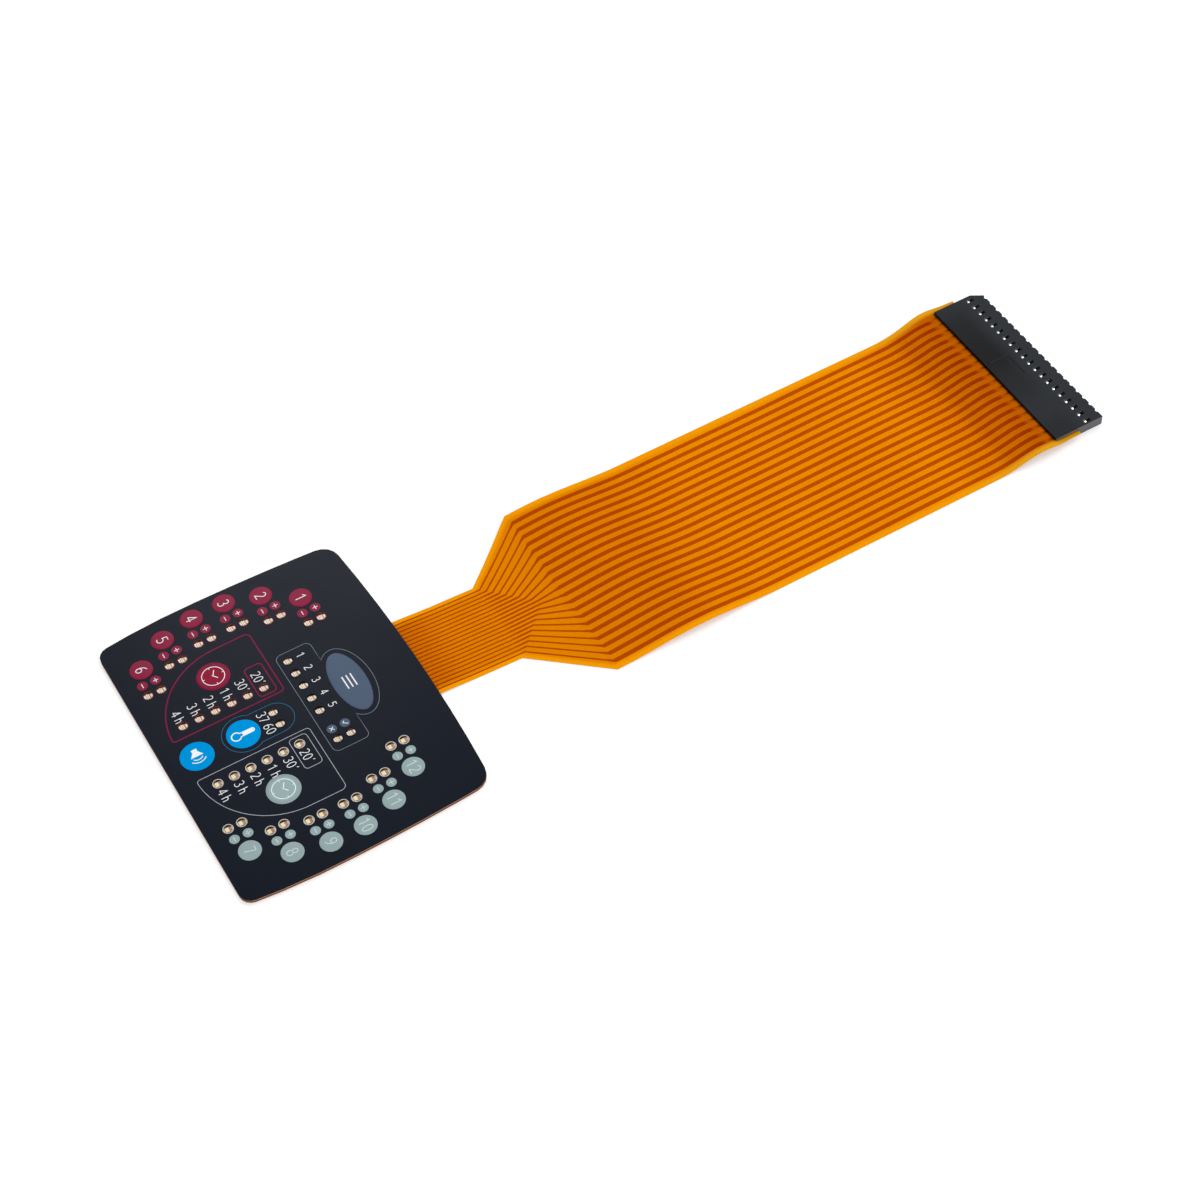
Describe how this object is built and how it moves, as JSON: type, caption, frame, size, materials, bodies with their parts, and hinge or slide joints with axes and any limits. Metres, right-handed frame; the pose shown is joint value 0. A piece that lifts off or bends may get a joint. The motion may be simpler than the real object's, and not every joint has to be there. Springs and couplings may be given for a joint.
{
  "type": "membrane keypad",
  "caption": "Flat membrane keypad with round keys and lamp windows on a flexible printed tail that fans out to a low pin-header socket.",
  "frame": {"origin": "middle of the panel's rear face, which lies on the floor", "axes": "+Z out of the key side, +Y from the keypad along the tail towards the connector, +X across the keypad"},
  "size_m": [0.0822, 0.2371, 0.0026],
  "materials": {
    "overlay_film": "matte printed polyester film",
    "spacer_film": "plain polyester film",
    "spring_steel": "bright spring strip",
    "amber_film": "satin polyimide film over copper",
    "clear_adhesive": "transfer adhesive",
    "liner_paper": "brown release paper",
    "housing_plastic": "moulded, fine satin",
    "tinned_bronze": "tin plated spring bronze"
  },
  "bodies": {
    "root": {"release_liner": "liner_paper", "rear_adhesive": "clear_adhesive", "flex_circuit": "amber_film", "dome_spacer": "spacer_film", "graphic_overlay": "overlay_film", "connector_housing": "housing_plastic", "snap_dome_01": "spring_steel", "snap_dome_02": "spring_steel", "snap_dome_03": "spring_steel", "snap_dome_04": "spring_steel", "snap_dome_05": "spring_steel", "snap_dome_06": "spring_steel", "snap_dome_07": "spring_steel", "snap_dome_08": "spring_steel", "snap_dome_09": "spring_steel", "snap_dome_10": "spring_steel", "snap_dome_11": "spring_steel", "snap_dome_12": "spring_steel", "snap_dome_13": "spring_steel", "snap_dome_14": "spring_steel", "snap_dome_15": "spring_steel", "snap_dome_16": "spring_steel", "snap_dome_17": "spring_steel", "contact_01": "tinned_bronze", "contact_02": "tinned_bronze", "contact_03": "tinned_bronze", "contact_04": "tinned_bronze", "contact_05": "tinned_bronze", "contact_06": "tinned_bronze", "contact_07": "tinned_bronze", "contact_08": "tinned_bronze", "contact_09": "tinned_bronze", "contact_10": "tinned_bronze", "contact_11": "tinned_bronze", "contact_12": "tinned_bronze", "contact_13": "tinned_bronze", "contact_14": "tinned_bronze", "contact_15": "tinned_bronze", "contact_16": "tinned_bronze", "contact_17": "tinned_bronze", "contact_18": "tinned_bronze", "contact_19": "tinned_bronze", "contact_20": "tinned_bronze"}
  },
  "joints": []
}
